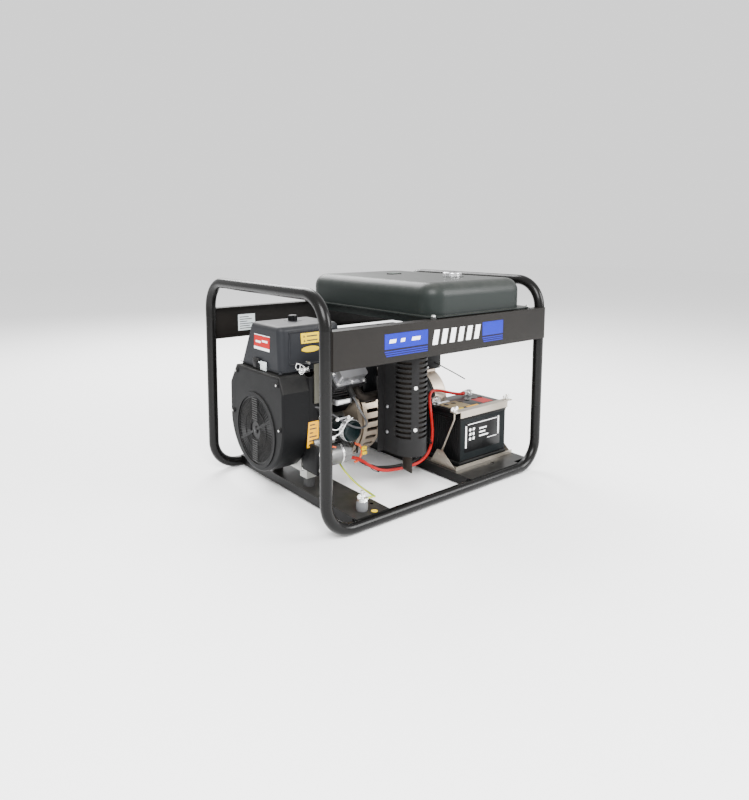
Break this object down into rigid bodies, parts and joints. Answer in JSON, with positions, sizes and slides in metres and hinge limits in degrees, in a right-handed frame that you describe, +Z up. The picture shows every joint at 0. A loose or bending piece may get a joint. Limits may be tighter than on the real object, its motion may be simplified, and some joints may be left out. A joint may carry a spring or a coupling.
{
  "type": "engine driven welder",
  "caption": "Open tube-frame welding set: V-twin petrol engine driving an alternator, with top tank, vertical muffler, battery and rear control box.",
  "frame": {"origin": "centre of the footprint on the floor", "axes": "+X to the right along the battery side, +Y to the back where the control panel is, +Z up"},
  "size_m": [0.94, 0.7, 0.6874],
  "materials": {
    "gloss_black_paint": "gloss powder coat",
    "satin_black_paint": "satin powder coat",
    "black_rubber": "matt",
    "cast_aluminium": "as cast",
    "rocker_aluminium": "bead blasted",
    "warm_aluminium": "as cast, warm lacquer",
    "black_moulding": "fine moulded grain",
    "filter_paper": "pleated paper",
    "starter_black": "semi-gloss",
    "filter_enamel": "gloss enamel",
    "guard_black": "heat-proof matt",
    "exhaust_steel": "heat stained",
    "ground_steel": "ground",
    "cast_iron": "as cast",
    "lamination_steel": "varnished laminations",
    "tank_paint": "satin, dark green-grey",
    "cap_zinc": "plated",
    "zinc_plate": "bright zinc",
    "tray_zinc": "yellow zinc",
    "battery_case": "polypropylene",
    "red_pvc": "cable sheath",
    "black_pvc": "cable sheath",
    "earth_pvc": "yellow and green sheath",
    "grey_silicone": "silicone sheath",
    "panel_grey": "satin",
    "socket_plastic": "moulded",
    "knob_black": "moulded"
  },
  "bodies": {
    "frame": {"air_cleaner_base": "black_moulding", "air_filter": "filter_paper", "alternator_shell": "satin_black_paint", "back_rail": "satin_black_paint", "back_sill_tube": "gloss_black_paint", "base_plate": "satin_black_paint", "battery": "battery_case", "battery_clamp": "tray_zinc", "battery_terminals": "zinc_plate", "battery_tray": "tray_zinc", "bearings": "ground_steel", "bell_housing": "warm_aluminium", "black_cable": "black_pvc", "blower_housing": "black_moulding", "carburettor": "cast_aluminium", "control_box": "satin_black_paint", "control_panel": "panel_grey", "crankcase": "cast_aluminium", "cylinder_heads": "cast_aluminium", "cylinder_shrouds": "satin_black_paint", "cylinders": "cast_aluminium", "earth_wire": "earth_pvc", "engine_crossmember": "satin_black_paint", "fan_grille": "black_moulding", "fasteners": "zinc_plate", "front_rail": "satin_black_paint", "front_sill_tube": "gloss_black_paint", "fuel_gauge": "black_moulding", "fuel_tank": "tank_paint", "ignition_lead": "grey_silicone", "left_hoop": "gloss_black_paint", "muffler": "exhaust_steel", "muffler_guard": "guard_black", "oil_filter": "filter_enamel", "panel_sockets": "socket_plastic", "pistons": "cast_aluminium", "rear_bracket": "warm_aluminium", "red_cable": "red_pvc", "right_hoop": "gloss_black_paint", "rocker_covers": "rocker_aluminium", "rubber_mounts": "black_rubber", "spark_plugs": "black_moulding", "starter_motor": "starter_black", "stator": "lamination_steel", "terminal_box": "satin_black_paint"},
    "rotating_group": {"crankshaft": "ground_steel", "flywheel_fan": "cast_iron", "rotor": "lamination_steel"},
    "dipstick_body": {"dipstick": "zinc_plate"},
    "cover_body": {"air_cleaner_cover": "black_moulding"},
    "cover_knob_body": {"cover_knob": "black_moulding"},
    "fuel_cap_body": {"fuel_cap": "cap_zinc"},
    "tap_lever_body": {"tap_lever": "red_pvc"},
    "current_knob_body": {"current_knob": "knob_black"},
    "ignition_key_body": {"ignition_key": "knob_black"},
    "breaker_body": {"breaker_lever": "knob_black"},
    "socket_lid_body": {"socket_lid": "socket_plastic"},
    "left_nut_body": {"battery_nut_left": "zinc_plate"},
    "right_nut_body": {"battery_nut_right": "zinc_plate"},
    "earth_nut_body": {"earth_nut": "zinc_plate"}
  },
  "joints": [
    {"name": "crank_spin", "type": "hinge", "parent": "frame", "child": "rotating_group", "pos_m": [-0.2, 0.045, 0.217], "axis": [1, 0, 0], "continuous": true},
    {"name": "dipstick_pull", "type": "slide", "parent": "frame", "child": "dipstick_body", "axis": [0, 0, 1], "range_m": [0, 0.08]},
    {"name": "cover_lift", "type": "slide", "parent": "frame", "child": "cover_body", "axis": [0, 0, 1], "range_m": [0, 0.08]},
    {"name": "cover_knob_turn", "type": "hinge", "parent": "cover_body", "child": "cover_knob_body", "pos_m": [-0.31, 0.045, 0.555], "axis": [0, 0, 1], "continuous": true},
    {"name": "fuel_cap_turn", "type": "hinge", "parent": "frame", "child": "fuel_cap_body", "pos_m": [0.232, -0.128, 0.68], "axis": [0, 0, 1], "range_deg": [0, 90]},
    {"name": "fuel_tap_turn", "type": "hinge", "parent": "frame", "child": "tap_lever_body", "pos_m": [-0.018, -0.25, 0.53], "axis": [0, 1, 0], "range_deg": [0, 90]},
    {"name": "current_knob_turn", "type": "hinge", "parent": "frame", "child": "current_knob_body", "pos_m": [0.15, 0.319, 0.388], "axis": [0, 1, 0], "range_deg": [0, 270]},
    {"name": "ignition_key_turn", "type": "hinge", "parent": "frame", "child": "ignition_key_body", "pos_m": [0.01, 0.319, 0.392], "axis": [0, 1, 0], "range_deg": [0, 90]},
    {"name": "breaker_toggle", "type": "hinge", "parent": "frame", "child": "breaker_body", "pos_m": [0.01, 0.319, 0.31], "axis": [1, 0, 0], "range_deg": [-25, 25]},
    {"name": "socket_lid_swing", "type": "hinge", "parent": "frame", "child": "socket_lid_body", "pos_m": [0.2825, 0.335, 0.268], "axis": [1, 0, 0], "range_deg": [0, 110], "stiffness_Nm_per_rad": 0.02},
    {"name": "left_wing_nut_turn", "type": "hinge", "parent": "frame", "child": "left_nut_body", "pos_m": [0.146, -0.229, 0.24], "axis": [0, 0, 1], "continuous": true},
    {"name": "right_wing_nut_turn", "type": "hinge", "parent": "frame", "child": "right_nut_body", "pos_m": [0.416, -0.229, 0.24], "axis": [0, 0, 1], "continuous": true},
    {"name": "earth_wing_nut_turn", "type": "hinge", "parent": "frame", "child": "earth_nut_body", "pos_m": [-0.3, -0.292, 0.075], "axis": [0, 0, 1], "continuous": true}
  ]
}
